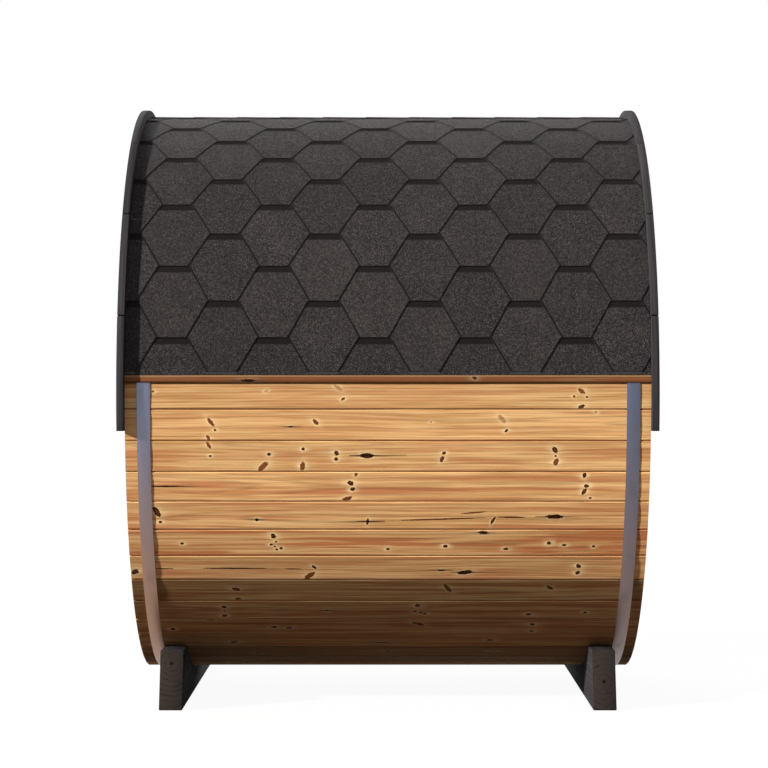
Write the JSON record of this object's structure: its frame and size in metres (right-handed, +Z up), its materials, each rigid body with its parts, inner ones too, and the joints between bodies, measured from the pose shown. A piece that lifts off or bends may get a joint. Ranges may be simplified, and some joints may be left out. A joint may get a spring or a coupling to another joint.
{
  "type": "barrel sauna",
  "caption": "Lying barrel of wooden staves on cradle beams, with round end walls, a closed door, steel bands, a shingled upper half and curved fascia boards.",
  "frame": {"origin": "on the ground, under the middle of the barrel", "axes": "+X along the barrel towards the door, +Z up, +Y to the right of someone who faces the door; the pictured side faces -Y"},
  "size_m": [1.78, 2.072, 2.119],
  "materials": {
    "stave_wood": "oiled knotty pine, satin",
    "wall_wood": "oiled knotty pine boards, satin",
    "door_wood": "oiled pine, satin",
    "dark_wood": "charcoal stained timber, matt",
    "floor_wood": "bare planed pine",
    "shingle": "mineral granules, matt",
    "band_steel": "satin steel strip",
    "hinge_steel": "black, satin"
  },
  "bodies": {
    "root": {"staves_01_oclock": "stave_wood", "staves_02_oclock": "stave_wood", "staves_03_oclock": "stave_wood", "staves_04_oclock": "stave_wood", "staves_05_oclock": "stave_wood", "staves_06_oclock": "stave_wood", "staves_07_oclock": "stave_wood", "staves_08_oclock": "stave_wood", "staves_09_oclock": "stave_wood", "staves_10_oclock": "stave_wood", "staves_11_oclock": "stave_wood", "staves_12_oclock": "stave_wood", "front_wall_left": "wall_wood", "front_wall_right": "wall_wood", "front_wall_over_door": "wall_wood", "front_wall_under_door": "wall_wood", "rear_wall": "wall_wood", "door_jambs": "door_wood", "door_head": "door_wood", "door_threshold": "door_wood", "door_leaf": "door_wood", "door_ledges": "door_wood", "door_handle": "dark_wood", "door_hinges": "hinge_steel", "band_front": "band_steel", "cradle_front": "dark_wood", "fascia_front": "dark_wood", "band_rear": "band_steel", "cradle_rear": "dark_wood", "fascia_rear": "dark_wood", "shingles_left_low": "shingle", "shingles_left_middle": "shingle", "shingles_left_top": "shingle", "eave_batten_left": "stave_wood", "shingles_right_low": "shingle", "shingles_right_middle": "shingle", "shingles_right_top": "shingle", "eave_batten_right": "stave_wood", "ridge_cap": "shingle", "floor_slats": "floor_wood", "floor_bearers": "floor_wood"}
  },
  "joints": []
}
